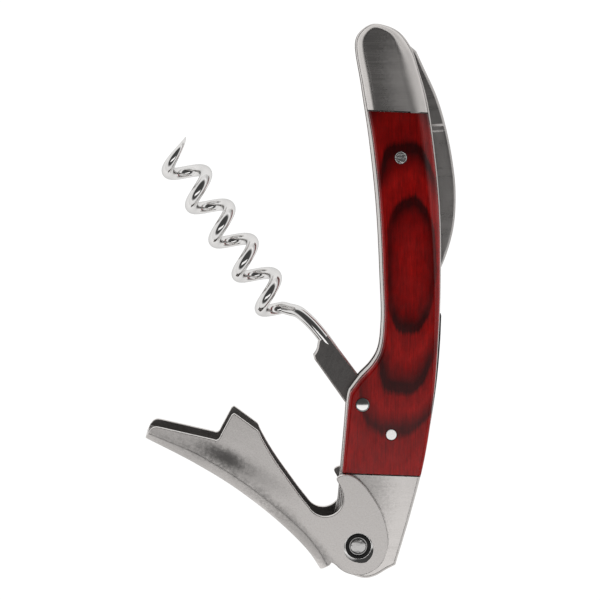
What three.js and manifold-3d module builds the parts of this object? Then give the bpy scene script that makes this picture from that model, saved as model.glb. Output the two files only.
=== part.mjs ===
// Waiter's corkscrew with three tools on one handle: a foil knife, a wire worm and a boot lever.
// Millimetres, +Z up. It lies on its side: Z is the thickness, +Y runs up the handle to its head,
// and the belly, where the worm and the lever fold in, faces -X. The rest pose is half open.
import * as THREE from "three";
import { mergeVertices } from "three/addons/utils/BufferGeometryUtils.js";
import Module from "manifold-3d";

// Thickness, from the middle plane outwards.
const SLOT = 3.0; // free width between the two liners
const LINER = 1.0; // liner sheet
const HANDLE_HALF = 5.2; // middle plane to the outer face of the wood and bolsters
const SHEET = 1.2; // lever sheet
const LEVER_INNER = 5.6; // middle plane to the inner face of a lever plate
const SLIDE = 0.05; // play between faces that slide on each other
const JOINT_GAP = 0.3; // open joint between the wood and a bolster
const LINER_IN = SLOT / 2;
const LINER_OUT = LINER_IN + LINER;
const LEVER_HALF = LEVER_INNER + SHEET;

// Pivots and rivets on the handle, [x, y], with their radii.
const BLADE_PIVOT = [19.8, 53.0];
const WORM_PIVOT = [13.45, -22.35];
const LEVER_PIVOT = [12.6, -53.1];
const UPPER_RIVET = [21.4, 31.1];
const LOWER_RIVET = [19.75, -28.9];
const BLADE_PIN_R = 1.6;
const WORM_RIVET_R = 1.45;
const LEVER_RIVET_R = 1.8;
const UPPER_RIVET_R = 1.3;
const LOWER_RIVET_R = 1.2;
const HOLE_PLAY = 0.06; // a hole's radius over its rivet's

// Rest angles of the folding tools about +Z.
const WORM_REST = THREE.MathUtils.degToRad(34); // worm axis 34 degrees to the left of the handle's
const LEVER_REST = THREE.MathUtils.degToRad(151.6); // lever's long axis, from its pivot to its tip

// Worm.
const COIL_RADIUS = 3.35; // to the wire's centre
const COIL_PITCH = 9.0;
const COIL_OFFSET = -3.5; // coil axis beside the worm's pivot
const COIL_TOP = 69.5; // height of turn angle zero above the pivot
const COIL_FROM = 12; // turn angle of the point, degrees
const COIL_TO = 1722; // turn angle where the wire leaves the coil, degrees
const FLARE = 0.9; // how far the point stands outside the coil
const FLARE_TURN = 130; // turn angle over which the flare dies out, degrees
const WIRE_R = 1.3;
const TANG_HALF = 1.25;

// Edge rounding of the wood and bolsters.
const EDGE_WIDTH = 1.9;
const EDGE_HEIGHT = 2.0;

const wasm = await Module();
wasm.setup();

const steel = (colour, roughness) =>
  new THREE.MeshStandardMaterial({ color: colour, roughness, metalness: 1 });
const SATIN = steel(0xb9b6b2, 0.38);
const BRUSHED = steel(0xa9a7a4, 0.32);
const POLISHED = steel(0xd2d2d2, 0.12);
const DARK_STEEL = steel(0x55524f, 0.45);
const WOOD = new THREE.MeshStandardMaterial({ color: 0x6e0f12, roughness: 0.3, metalness: 0 });

// A closed geometry as a solid that can be joined and cut.
function solid(geometry) {
  const bare = geometry.clone();
  bare.deleteAttribute("normal");
  bare.deleteAttribute("uv");
  const merged = mergeVertices(bare, 1e-4);
  return new wasm.Manifold(
    new wasm.Mesh({
      numProp: 3,
      vertProperties: new Float32Array(merged.attributes.position.array),
      triVerts: new Uint32Array(merged.index.array),
    }),
  );
}

// A solid as a named mesh.
function piece(name, body, material) {
  const mesh = body.getMesh();
  const geometry = new THREE.BufferGeometry();
  geometry.setAttribute("position", new THREE.BufferAttribute(mesh.vertProperties, mesh.numProp));
  geometry.setIndex(new THREE.BufferAttribute(mesh.triVerts, 1));
  geometry.computeVertexNormals();
  const made = new THREE.Mesh(geometry, material);
  made.name = name;
  return made;
}

// A smooth run through a few chosen points, cut into equal steps.
function smooth(knots, step = 2.2) {
  const through = knots.map(([x, y]) => new THREE.Vector3(x, y, 0));
  const curve = new THREE.CatmullRomCurve3(through, false, "centripetal");
  const count = Math.ceil(curve.getLength() / step);
  return curve.getSpacedPoints(count).map((p) => [p.x, p.y]);
}

// An arc about [cx, cy] from one angle to another, in degrees.
function arc([cx, cy], radius, from, to, count) {
  const points = [];
  for (let i = 0; i <= count; i++) {
    const angle = THREE.MathUtils.degToRad(from + ((to - from) * i) / count);
    points.push([cx + radius * Math.cos(angle), cy + radius * Math.sin(angle)]);
  }
  return points;
}

function outline(...runs) {
  return new THREE.Shape(runs.flat().map(([x, y]) => new THREE.Vector2(x, y)));
}

// A shape as a flat plate between two heights.
function plate(shape, low, high) {
  const geometry = new THREE.ExtrudeGeometry(shape, { depth: high - low, bevelEnabled: false });
  return solid(geometry.translate(0, 0, low));
}

function disc([x, y], radius, low, high, sides = 28) {
  return plate(outline(arc([x, y], radius, 0, 360 - 360 / sides, sides - 1)), low, high);
}

// Everything at or above a height, as a tool that halves a symmetrical body.
function above(height) {
  return solid(new THREE.BoxGeometry(200, 200, 50).translate(0, 0, height + 25));
}

// ---- Handle outlines ----

const BACK = [
  [23.8, 54.4],
  [25.3, 50.0],
  [27.3, 43.0],
  [29.1, 31.0],
  [30.2, 19.5],
  [30.5, 4.6],
  [30.2, -6.6],
  [29.3, -20.0],
  [27.25, -34.7],
  [24.4, -46.3],
  [21.4, -57.2],
];
const HEAD_TOP = [
  [11.8, 55.9],
  [12.7, 58.0],
  [15.2, 59.7],
  [18.6, 59.25],
  [21.3, 57.8],
  [23.8, 54.4],
];
const BELLY = [
  [10.6, -19.2],
  [12.75, -16.3],
  [15.4, -13.5],
  [17.0, -10.6],
  [17.7, -4.5],
  [17.4, 5.0],
  [16.5, 20.5],
  [14.9, 34.9],
  [13.1, 46.6],
  [11.8, 55.9],
];
const FOOT = [
  [21.4, -57.2],
  [19.2, -58.7],
  [16.6, -60.35],
  [14.2, -60.8],
  [11.3, -60.0],
  [8.2, -57.8],
  [6.5, -54.6],
  [6.4, -51.6],
];
const THROAT = [
  [6.4, -51.6],
  [8.2, -45.4],
  [9.0, -36.8],
  [9.8, -27.0],
  [10.3, -20.4],
  [10.6, -19.2],
];

// The wood and bolsters follow the liner, set in a little more along the belly and at the head.
const COVER_BACK = [
  [23.2, 54.0],
  [24.65, 50.0],
  [26.8, 42.5],
  [28.8, 31.0],
  [29.9, 19.5],
  [30.2, 4.6],
  [29.9, -6.6],
  [29.0, -20.0],
  [26.95, -34.7],
  [24.1, -46.3],
  [21.15, -57.0],
];
const COVER_TOP = [
  [12.15, 55.8],
  [13.0, 57.7],
  [15.3, 59.3],
  [18.0, 58.85],
  [20.6, 57.3],
  [23.2, 54.0],
];
const COVER_BELLY = [
  [10.9, -19.8],
  [13.2, -17.0],
  [16.1, -14.0],
  [17.8, -10.8],
  [18.6, -4.5],
  [18.4, 5.0],
  [17.6, 20.5],
  [15.8, 36.0],
  [13.8, 46.6],
  [12.15, 55.8],
];
const COVER_FOOT = [
  [21.15, -57.0],
  [19.0, -58.4],
  [16.5, -60.0],
  [14.2, -60.5],
  [11.4, -59.7],
  [8.5, -57.5],
  [6.8, -54.4],
  [6.7, -51.6],
];
const COVER_THROAT = [
  [6.7, -51.6],
  [8.45, -45.4],
  [9.25, -36.8],
  [10.0, -27.5],
  [10.6, -21.2],
  [10.9, -19.8],
];

// Closed run of outline pieces: the next run starts where the last one ends.
const closed = (...runs) => outline(...runs.map((run) => smooth(run).slice(0, -1)));

// ---- Handle pieces ----

const HOLES = [
  [BLADE_PIVOT, BLADE_PIN_R],
  [WORM_PIVOT, WORM_RIVET_R],
  [LEVER_PIVOT, LEVER_RIVET_R],
  [UPPER_RIVET, UPPER_RIVET_R],
  [LOWER_RIVET, LOWER_RIVET_R],
];

// Drills a body through at each rivet that is in the list.
function drill(body, holes, low = -20, high = 20) {
  let drilled = body;
  for (const [centre, radius] of holes) {
    drilled = drilled.subtract(disc(centre, radius + HOLE_PLAY, low, high));
  }
  return drilled;
}

const mirrored = (body) => body.mirror([0, 0, 1]);

function liner() {
  const sheet = plate(closed(HEAD_TOP, BACK, FOOT, THROAT, BELLY), LINER_IN, LINER_OUT);
  return drill(sheet, HOLES);
}

// Wood and bolsters of one side as one rounded body, before the joints are cut.
function cover() {
  const shape = closed(COVER_TOP, COVER_BACK, COVER_FOOT, COVER_THROAT, COVER_BELLY);
  const geometry = new THREE.ExtrudeGeometry(shape, {
    depth: 2 * (HANDLE_HALF - EDGE_HEIGHT),
    bevelEnabled: true,
    bevelThickness: EDGE_HEIGHT,
    bevelSize: EDGE_WIDTH,
    bevelOffset: -EDGE_WIDTH,
    bevelSegments: 3,
  });
  return solid(geometry.translate(0, 0, EDGE_HEIGHT - HANDLE_HALF)).intersect(above(LINER_OUT));
}

const HEAD_JOINT = 41.77; // height of the head joint line at x = 0
const FOOT_JOINT = -37.0; // height of the foot joint line at x = 0
const JOINT_SLOPE = -0.04;

// The band of the cover between two parallel joint lines.
function band(low, high) {
  const at = (x, y) => [x, y + JOINT_SLOPE * x];
  return plate(outline([at(0, low), at(50, low), at(50, high), at(0, high)]), -20, 20);
}

const headBand = band(HEAD_JOINT + JOINT_GAP / 2, 90);
const woodBand = band(FOOT_JOINT + JOINT_GAP / 2, HEAD_JOINT - JOINT_GAP / 2);
const footBand = band(-90, FOOT_JOINT - JOINT_GAP / 2);
const PIN_DEPTH = 3.8; // the blade pin stops inside the bolsters

const headBolster = drill(
  cover().intersect(headBand),
  [[BLADE_PIVOT, BLADE_PIN_R]],
  0,
  PIN_DEPTH + HOLE_PLAY,
);
const scale = drill(cover().intersect(woodBand), [
  [WORM_PIVOT, WORM_RIVET_R],
  [UPPER_RIVET, UPPER_RIVET_R],
  [LOWER_RIVET, LOWER_RIVET_R],
]);
const footBolster = drill(cover().intersect(footBand), [[LEVER_PIVOT, LEVER_RIVET_R]]);

const CORE = LINER_IN - SLIDE / 2; // half thickness of the fixed pieces between the liners

// Spring behind the blade, along the belly of the upper half, with an ear round the upper rivet.
function bladeSpring() {
  const belly = smooth([
    [17.75, 1.0],
    [16.85, 20.5],
    [15.25, 34.9],
    [13.75, 45.2],
  ]);
  const inner = smooth([
    [17.9, 46.3],
    [18.9, 36.0],
    [19.6, 33.2],
  ]);
  const lower = smooth([
    [20.2, 28.7],
    [20.4, 20.5],
    [20.6, 8.0],
    [20.4, 1.8],
  ]);
  const ear = arc(UPPER_RIVET, 2.1, 130, -115, 12);
  const body = plate(outline(belly, inner, ear, lower), -CORE, CORE);
  return drill(body, [[UPPER_RIVET, UPPER_RIVET_R]]);
}

// Spring behind the worm. Its back edge stands a little proud of the liners.
function backSpring() {
  const back = smooth([
    [30.75, -3.4],
    [30.6, -8.0],
    [30.05, -16.0],
    [29.2, -23.0],
    [27.2, -35.0],
    [25.9, -40.5],
  ]);
  const corner = arc([29.55, -3.4], 1.2, 90, 15, 4);
  const throat = smooth([
    [9.1, -39.6],
    [9.55, -33.0],
    [10.1, -27.6],
  ]);
  const saddle = arc(WORM_PIVOT, 3.5, 270, 375, 12);
  const inner = smooth([
    [17.6, -17.5],
    [20.5, -11.0],
    [24.3, -2.4],
  ]);
  const body = plate(outline(corner, back, throat, saddle, inner), -CORE, CORE);
  return drill(body, [[LOWER_RIVET, LOWER_RIVET_R]]);
}

// Spacer that keeps the liners apart round the lever rivet.
function footSpacer() {
  const shape = outline(
    smooth([
      [25.4, -41.0],
      [24.0, -46.3],
      [21.0, -57.0],
    ]),
    smooth([
      [19.0, -58.3],
      [16.5, -59.9],
      [14.2, -60.35],
      [11.5, -59.6],
      [8.7, -57.4],
      [6.95, -54.4],
      [6.85, -51.6],
      [8.6, -45.4],
      [9.05, -40.1],
    ]),
  );
  return drill(plate(shape, -CORE, CORE), [[LEVER_PIVOT, LEVER_RIVET_R]]);
}

// Plain round pin, flush with the faces it ends in.
const pin = (centre, radius, half) => disc(centre, radius, -half, half);

// Worm rivet, with a low dome on each end.
function domedRivet([x, y], radius, half, dome) {
  const steps = 3;
  const profile = [new THREE.Vector2(0, -half - dome)];
  for (let i = 1; i <= steps; i++) {
    const angle = ((Math.PI / 2) * i) / steps;
    profile.push(new THREE.Vector2(radius * Math.sin(angle), -half - dome * Math.cos(angle)));
  }
  const top = profile.map((p) => new THREE.Vector2(p.x, -p.y)).reverse();
  const geometry = new THREE.LatheGeometry([...profile, ...top], 28);
  return solid(geometry.rotateX(Math.PI / 2).translate(x, y, 0));
}

// ---- Blade, folded in along the back of the upper half ----

const BLADE_HALF = 1.1;

function blade() {
  const spine = smooth([
    [24.9, 54.0],
    [26.6, 50.4],
    [29.35, 44.5],
    [31.2, 38.8],
    [32.9, 31.0],
    [33.75, 23.5],
    [33.3, 15.6],
    [31.0, 7.8],
    [29.0, 3.8],
  ]);
  const edge = smooth([
    [28.4, 4.2],
    [26.6, 10.5],
    [25.0, 19.0],
    [24.3, 28.0],
    [24.0, 35.0],
    [22.8, 42.0],
    [20.6, 47.0],
  ]);
  const heel = arc(BLADE_PIVOT, 4.3, 262, 68, 14);
  const body = plate(outline(spine, edge, heel), -BLADE_HALF, BLADE_HALF);
  return drill(body, [[BLADE_PIVOT, BLADE_PIN_R]]);
}

// ---- Worm, with its pivot at the origin and its coil along +Y ----

// Wire centre line, from the point down the coil and on into the tang.
function wirePath() {
  const points = [];
  const turns = 76;
  for (let i = 0; i <= turns; i++) {
    const turn = COIL_FROM + ((COIL_TO - COIL_FROM) * i) / turns;
    const angle = THREE.MathUtils.degToRad(turn);
    const flared = Math.max(0, (FLARE_TURN - turn) / FLARE_TURN);
    const radius = COIL_RADIUS + FLARE * flared ** 2;
    points.push(
      new THREE.Vector3(
        COIL_OFFSET + radius * Math.cos(angle),
        COIL_TOP - (COIL_PITCH * turn) / 360,
        radius * Math.sin(angle),
      ),
    );
  }
  points.push(new THREE.Vector3(-1.75, 25.35, -2.6));
  points.push(new THREE.Vector3(-0.45, 23.95, -1.5));
  points.push(new THREE.Vector3(0.5, 20.9, -0.4));
  points.push(new THREE.Vector3(0.95, 17.6, 0));
  points.push(new THREE.Vector3(1.15, 13.5, 0));
  return new THREE.CatmullRomCurve3(points, false, "centripetal");
}

const WIRE_SIDES = 10;
const WIRE_STEPS = 90;
const POINT_LENGTH = 11; // length of wire ground down to the point
const POINT_R = 0.2; // radius left at the very tip

// Wire of full thickness, drawn in towards its centre line over the ground point.
function wire() {
  const path = wirePath();
  const section = new THREE.Shape().absarc(0, 0, WIRE_R, 0, 2 * Math.PI);
  const geometry = new THREE.ExtrudeGeometry(section, {
    steps: WIRE_STEPS,
    curveSegments: WIRE_SIDES / 2,
    bevelEnabled: false,
    extrudePath: path,
  });
  const length = path.getLength();
  const stations = path.getSpacedPoints(WIRE_STEPS);
  const position = geometry.getAttribute("position");
  const vertex = new THREE.Vector3();
  for (let i = 0; i < position.count; i++) {
    vertex.fromBufferAttribute(position, i);
    const distances = stations.map((station) => station.distanceTo(vertex));
    const nearest = distances.indexOf(Math.min(...distances));
    const along = (length * nearest) / WIRE_STEPS;
    if (along >= POINT_LENGTH) continue;
    const radius = POINT_R + (WIRE_R - POINT_R) * Math.sin((Math.PI / 2) * (along / POINT_LENGTH));
    vertex.lerp(stations[nearest], 1 - radius / WIRE_R);
    position.setXYZ(i, vertex.x, vertex.y, vertex.z);
  }
  return solid(geometry);
}

function tang() {
  const right = smooth([
    [2.2, 16.6],
    [2.55, 10.0],
    [2.85, 4.0],
  ]);
  const end = arc([0.05, 0], 2.95, 15, -195, 14);
  const left = smooth([
    [-2.95, 2.0],
    [-3.1, 8.0],
    [-3.25, 13.6],
  ]);
  const shoulder = smooth(
    [
      [-2.9, 14.5],
      [-1.9, 14.9],
      [-1.25, 15.4],
      [-0.7, 16.0],
      [-0.1, 16.6],
    ],
    0.5,
  );
  return plate(outline(right, end, left, shoulder), -TANG_HALF, TANG_HALF);
}

const worm = drill(wire().add(tang()), [[[0, 0], WORM_RIVET_R]]);

// ---- Lever, with its pivot at the origin, its tip along +X and its web towards +Y ----

const WEB = [
  [4.0, 8.75],
  [8.1, 6.75],
  [12.2, 5.3],
  [18.0, 3.75],
  [25.4, 2.35],
  [32.4, 1.5],
  [41.5, 1.13],
  [53.0, 1.15],
];
const BEND = 2.4; // outer radius of the bend between the web and a plate
const CAP_CENTRE = [11.3, -5.8];
const CAP_R = 3.95;
const DISH_R = 3.7; // shallow dish round the lever rivet
const DISH_DEPTH = 0.4;
const WASHER_R = 2.7;
const WASHER = 0.25;

// Side view of a lever plate: foot notch, tooth, cap lifter hook and pivot boss.
function leverSide() {
  const notch = smooth([
    [38.9, -5.66],
    [38.15, -5.85],
    [37.8, -6.5],
    [37.82, -7.3],
  ], 0.4);
  const tooth = smooth([
    [37.85, -12.2],
    [37.55, -12.75],
    [36.9, -12.75],
  ], 0.3);
  const shoulder = smooth([
    [31.7, -12.0],
    [31.0, -11.85],
    [30.2, -11.2],
    [26.8, -9.0],
    [23.2, -7.0],
    [19.8, -5.35],
    [16.3, -3.65],
    [13.6, -2.5],
  ], 1.4);
  const capLifter = arc(CAP_CENTRE, CAP_R, 62, 210, 18);
  const hook = smooth([
    [8.35, -8.5],
    [9.2, -9.25],
    [10.5, -10.15],
    [11.15, -10.6],
    [11.25, -11.1],
    [10.4, -12.2],
    [8.8, -12.9],
    [7.05, -12.85],
    [4.6, -12.05],
    [1.8, -10.7],
    [-1.0, -8.9],
    [-3.4, -6.6],
    [-5.6, -3.5],
    [-6.4, 0.0],
  ], 0.8);
  const boss = arc([0, 0], 6.4, 176, 75, 12);
  const heel = smooth([
    [2.6, 5.95],
    [3.5, 6.1],
    [4.0, 6.9],
    [4.6, 8.6],
  ], 0.6);
  const web = smooth([[5.0, 8.4], ...WEB.slice(1, -1), [51.7, 1.14]]);
  const tip = smooth([
    [52.0, 0.8],
    [51.75, -0.6],
    [51.3, -1.9],
    [50.6, -2.5],
  ], 0.5);
  return outline(notch, tooth, shoulder, capLifter, hook, boss, heel, web, tip);
}

// One bent sheet: a channel swept along the web's curve, trimmed to the side view.
function lever() {
  const path = new THREE.CatmullRomCurve3(
    WEB.map(([x, y]) => new THREE.Vector3(x, y, 0)),
    false,
    "centripetal",
  );
  // Section across the web: x runs over the sheet's width, y from the web's outside to the legs' ends.
  const channel = (half, web, bend, legs) =>
    outline(
      [[-half, legs]],
      arc([-half + bend, web - bend], bend, 180, 90, 4),
      arc([half - bend, web - bend], bend, 90, 0, 4),
      [[half, legs]],
    );
  const sweep = (section) =>
    solid(
      new THREE.ExtrudeGeometry(section, { steps: 18, bevelEnabled: false, extrudePath: path }),
    );
  // The sweep starts at the web's foot. Behind it the plates run on as flat sheets.
  const behind = outline([
    [-12, -20],
    [9, -20],
    [9, 3],
    [5.2, 6.6],
    [-12, 7],
  ]);
  const LEGS = -26;
  const outside = sweep(channel(LEVER_HALF, 0, BEND, LEGS)).add(
    plate(behind, -LEVER_HALF, LEVER_HALF),
  );
  const inside = sweep(channel(LEVER_INNER, -SHEET, BEND - SHEET, LEGS - 5)).add(
    plate(behind, -LEVER_INNER, LEVER_INNER),
  );
  let body = outside.subtract(inside).intersect(plate(leverSide(), -10, 10));
  const dish = new THREE.CylinderGeometry(DISH_R, WASHER_R + 0.15, DISH_DEPTH + 0.02, 28);
  const dished = solid(
    dish.rotateX(Math.PI / 2).translate(0, 0, LEVER_HALF - DISH_DEPTH / 2 + 0.01),
  );
  body = body.subtract(dished).subtract(mirrored(dished));
  return drill(body, [[[0, 0], LEVER_RIVET_R]]);
}

// Washer in the lever's dish, round the rivet.
function washer() {
  const floor = LEVER_HALF - DISH_DEPTH + 0.02;
  return disc([0, 0], WASHER_R, floor, floor + WASHER).subtract(
    disc([0, 0], LEVER_RIVET_R + HOLE_PLAY, floor - 1, floor + 1),
  );
}

// ---- Assembly ----

const handle = new THREE.Group();
handle.add(
  piece("liner_front", liner(), BRUSHED),
  piece("liner_rear", mirrored(liner()), BRUSHED),
  piece("head_bolster_front", headBolster, BRUSHED),
  piece("head_bolster_rear", mirrored(headBolster), BRUSHED),
  piece("scale_front", scale, WOOD),
  piece("scale_rear", mirrored(scale), WOOD),
  piece("foot_bolster_front", footBolster, BRUSHED),
  piece("foot_bolster_rear", mirrored(footBolster), BRUSHED),
  piece("blade_spring", bladeSpring(), DARK_STEEL),
  piece("back_spring", backSpring(), DARK_STEEL),
  piece("foot_spacer", footSpacer(), DARK_STEEL),
  piece("blade_pin", pin(BLADE_PIVOT, BLADE_PIN_R, PIN_DEPTH), BRUSHED),
  piece("scale_rivet_upper", pin(UPPER_RIVET, UPPER_RIVET_R, HANDLE_HALF), POLISHED),
  piece("scale_rivet_lower", pin(LOWER_RIVET, LOWER_RIVET_R, HANDLE_HALF), POLISHED),
  piece("worm_rivet", domedRivet(WORM_PIVOT, WORM_RIVET_R, HANDLE_HALF, 0.3), POLISHED),
);

const bladeGroup = new THREE.Group();
bladeGroup.add(piece("knife_blade", blade(), SATIN));

const wormGroup = new THREE.Group();
wormGroup.position.set(WORM_PIVOT[0], WORM_PIVOT[1], 0);
wormGroup.rotation.z = WORM_REST;
wormGroup.add(piece("worm", worm, POLISHED));

const leverGroup = new THREE.Group();
leverGroup.position.set(LEVER_PIVOT[0], LEVER_PIVOT[1], 0);
leverGroup.rotation.z = LEVER_REST;
leverGroup.add(
  piece("lever", lever(), SATIN),
  piece("lever_rivet", pin([0, 0], LEVER_RIVET_R, LEVER_HALF), POLISHED),
  piece("lever_washer_front", washer(), DARK_STEEL),
  piece("lever_washer_rear", mirrored(washer()), DARK_STEEL),
);

const corkscrew = new THREE.Group();
corkscrew.add(handle, bladeGroup, wormGroup, leverGroup);

// Origin under the middle of the object's box, on the surface it lies on.
corkscrew.updateMatrixWorld(true);
const box = new THREE.Box3().setFromObject(corkscrew, true);
const centre = box.getCenter(new THREE.Vector3());
corkscrew.position.set(-centre.x, -centre.y, -box.min.z);

export default corkscrew;
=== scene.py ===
"""Waiter's corkscrew, half open and lying on its side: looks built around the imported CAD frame.

Shapes are drawn in millimetres in the handle's drawing frame (+Y up the handle, Z across its
thickness from the middle plane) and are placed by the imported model's own pivots.
"""

import math

import bmesh
import bpy
import numpy as np
from mathutils import Matrix, Vector
from mathutils.geometry import tessellate_polygon


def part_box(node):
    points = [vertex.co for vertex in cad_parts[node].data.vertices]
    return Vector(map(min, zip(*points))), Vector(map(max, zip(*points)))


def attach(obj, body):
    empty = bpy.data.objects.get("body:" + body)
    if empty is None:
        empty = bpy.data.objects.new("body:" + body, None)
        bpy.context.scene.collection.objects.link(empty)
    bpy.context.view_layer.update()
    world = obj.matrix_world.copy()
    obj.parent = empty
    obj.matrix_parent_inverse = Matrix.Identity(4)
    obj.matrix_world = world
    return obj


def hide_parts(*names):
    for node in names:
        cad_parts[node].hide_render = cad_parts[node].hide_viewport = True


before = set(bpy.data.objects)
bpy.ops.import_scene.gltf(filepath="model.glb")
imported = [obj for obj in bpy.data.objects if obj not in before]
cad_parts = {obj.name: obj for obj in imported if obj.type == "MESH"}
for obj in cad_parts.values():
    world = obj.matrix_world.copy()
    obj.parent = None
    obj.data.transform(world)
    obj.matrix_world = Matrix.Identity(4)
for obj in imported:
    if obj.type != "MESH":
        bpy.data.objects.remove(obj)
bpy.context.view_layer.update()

MM = 0.001
SHEET = 1.2  # of the lever
LINER_SHEET = 1.0


def centre_of(node):
    """Middle of a CAD node's box, in millimetres."""
    low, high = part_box(node)
    return (low + high) / 2 / MM


# Pivots and rivets in the drawing frame, and the move that takes it into the row frame.
BLADE_PIVOT = np.array([19.8, 53.0])
WORM_PIVOT = np.array([13.45, -22.35])
LEVER_PIVOT = np.array([12.6, -53.1])
UPPER_RIVET = np.array([21.4, 31.1])
LOWER_RIVET = np.array([19.75, -28.9])
PLACE = centre_of("lever_rivet") - Vector((*LEVER_PIVOT, 0.0))

# Angles of the worm and the lever at rest, from +Y and from +X.
WORM_REST = math.radians(34)
LEVER_REST = math.radians(151.6)


def height(node):
    """Top face of a CAD node above the middle plane, in millimetres."""
    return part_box(node)[1].z / MM - PLACE.z


LINER_OUT = height("liner_front")
HANDLE_HALF = height("scale_front")
LEVER_HALF = height("lever")
BLADE_HALF = height("knife_blade")
CORE = height("back_spring")
LINER_IN = LINER_OUT - LINER_SHEET
LEVER_INNER = LEVER_HALF - SHEET


# ---------------------------- curves


def spline(knots, step):
    """Centripetal Catmull-Rom run through knots of any dimension, cut into equal steps."""
    p = [np.array(k, float) for k in knots]
    p = [2 * p[0] - p[1], *p, 2 * p[-1] - p[-2]]
    dense = []
    s = np.linspace(0, 1, 33)[:, None]
    for a, b, c, d in zip(p, p[1:], p[2:], p[3:]):
        t0, t1, t2 = (max(np.linalg.norm(v - u) ** 0.5, 1e-4) for u, v in ((a, b), (b, c), (c, d)))
        m1 = ((b - a) / t0 - (c - a) / (t0 + t1) + (c - b) / t1) * t1
        m2 = ((c - b) / t1 - (d - b) / (t1 + t2) + (d - c) / t2) * t1
        bent = (3 * (c - b) - 2 * m1 - m2) * s**2 + (m1 + m2 - 2 * (c - b)) * s**3
        dense.append(b + m1 * s + bent)
    line = np.concatenate([dense[0]] + [part[1:] for part in dense[1:]])
    return resample(line, step)


def lengths(line):
    """Length along a line up to each of its points."""
    return np.concatenate([[0], np.cumsum(np.linalg.norm(np.diff(line, axis=0), axis=1))])


def points_at(line, wanted):
    """Points of a line at the wanted lengths along it."""
    along = lengths(line)
    return np.stack([np.interp(wanted, along, line[:, k]) for k in range(line.shape[1])], 1)


def resample(line, step):
    """Line cut into equal steps, each no longer than a step."""
    whole = lengths(line)[-1]
    return points_at(line, np.linspace(0, whole, max(2, math.ceil(whole / step) + 1)))


def arc(centre, radius, start, end, step=0.35):
    """Arc about a centre from one angle to another, in degrees."""
    count = max(3, math.ceil(abs(math.radians(end - start)) * radius / step) + 1)
    angle = np.radians(np.linspace(start, end, count))
    return np.stack([centre[0] + radius * np.cos(angle), centre[1] + radius * np.sin(angle)], 1)


def closed(*runs):
    """Joins runs into one anticlockwise loop, leaving out points that repeat."""
    points = np.concatenate(runs)
    points = points[np.linalg.norm(points - np.roll(points, 1, axis=0), axis=1) > 1e-3]
    x, y = points.T
    area = np.sum(x * np.roll(y, -1) - np.roll(x, -1) * y)
    return points if area > 0 else points[::-1]


def normals(points):
    """Inward mitre vectors of an anticlockwise loop, one unit of inset long."""
    ahead = np.roll(points, -1, axis=0) - points
    ahead /= np.linalg.norm(ahead, axis=1)[:, None]
    left = np.stack([-ahead[:, 1], ahead[:, 0]], 1)
    both = left + np.roll(left, 1, axis=0)
    both /= np.linalg.norm(both, axis=1)[:, None]
    cosine = np.sum(both * left, axis=1)
    return both / np.maximum(cosine, 0.4)[:, None]


def turned(points, angle, pivot):
    """Points of a tool's own frame, turned to their rest angle and moved to their pivot."""
    c, s = math.cos(angle), math.sin(angle)
    x, y = np.asarray(points, float)[:, :2].T
    flat = np.stack([pivot[0] + c * x - s * y, pivot[1] + s * x + c * y], 1)
    return np.concatenate([flat, np.asarray(points, float)[:, 2:]], 1)


def edge_curve(slopes, count):
    """Section of a worn edge from its foot to the flat, from (share of the width, degrees) pairs.

    Gives shares of the width, shares of the height, and the height for a width of one."""
    share, angle = np.array(slopes, float).T
    fine = np.linspace(0, 1, 400)
    tangent = np.tan(np.radians(np.interp(fine, share, angle)))
    rise = np.concatenate([[0], np.cumsum((tangent[1:] + tangent[:-1]) / 2 * np.diff(fine))])
    wanted = np.linspace(0, 1, count) ** 1.3
    return wanted, np.interp(wanted, fine, rise / rise[-1]), rise[-1]


# ---------------------------- meshes

LEVEL = 0.99999  # Z of the normal of a face that is flat across the handle
BORE_SIDES, TURNED_SIDES = 56, 64


def build(name, verts, faces, body, slot, replaces, material, sharp=32):
    """Mesh object from millimetre points of the drawing frame, riding on a CAD body. Edges that
    turn by more than sharp degrees stay sharp."""
    mesh = bpy.data.meshes.new(name)
    placed = [tuple((Vector(v) + PLACE) * MM) for v in verts]
    mesh.from_pydata(placed, [], [list(map(int, f)) for f in faces])
    bm = bmesh.new()
    bm.from_mesh(mesh)
    bmesh.ops.remove_doubles(bm, verts=bm.verts, dist=2e-7)
    bmesh.ops.dissolve_degenerate(bm, edges=bm.edges, dist=1e-7)
    bmesh.ops.recalc_face_normals(bm, faces=bm.faces)
    bm.to_mesh(mesh)
    bm.free()
    mesh.shade_smooth()
    mesh.set_sharp_from_angle(angle=math.radians(sharp))
    for polygon in mesh.polygons:
        if abs(polygon.normal.z) > LEVEL:
            polygon.use_smooth = False
    made = bpy.data.objects.new(name, mesh)
    bpy.context.scene.collection.objects.link(made)
    mesh.materials.append(material)
    even = made.modifiers.new("flat faces stay flat", "WEIGHTED_NORMAL")
    even.keep_sharp = True
    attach(made, body)
    if replaces:
        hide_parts(*replaces)
    return made


def rounded(radius):
    """Quarter round as (inset, drop) pairs, from the side wall up to the face."""
    angle = np.linspace(0, math.pi / 2, 4)
    return [(radius * (1 - math.cos(a)), radius * (1 - math.sin(a))) for a in angle]


def loops_to_faces(loops, close=True):
    """Quads between loops of equal length, given as (first index, count) pairs."""
    faces = []
    for (a, n), (b, _) in zip(loops, loops[1:]):
        for i in range(n if close else n - 1):
            j = (i + 1) % n
            faces.append((a + i, a + j, b + j, b + i))
    return faces


def caps(verts, rim, holes=()):
    """Triangles that close a flat face with holes. The rim and the holes are lists of indices."""
    contours = [[Vector(verts[i]) for i in ring] for ring in [rim, *holes]]
    index = [i for ring in [rim, *holes] for i in ring]
    return [tuple(index[k] for k in tri) for tri in tessellate_polygon(contours)]


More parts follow.
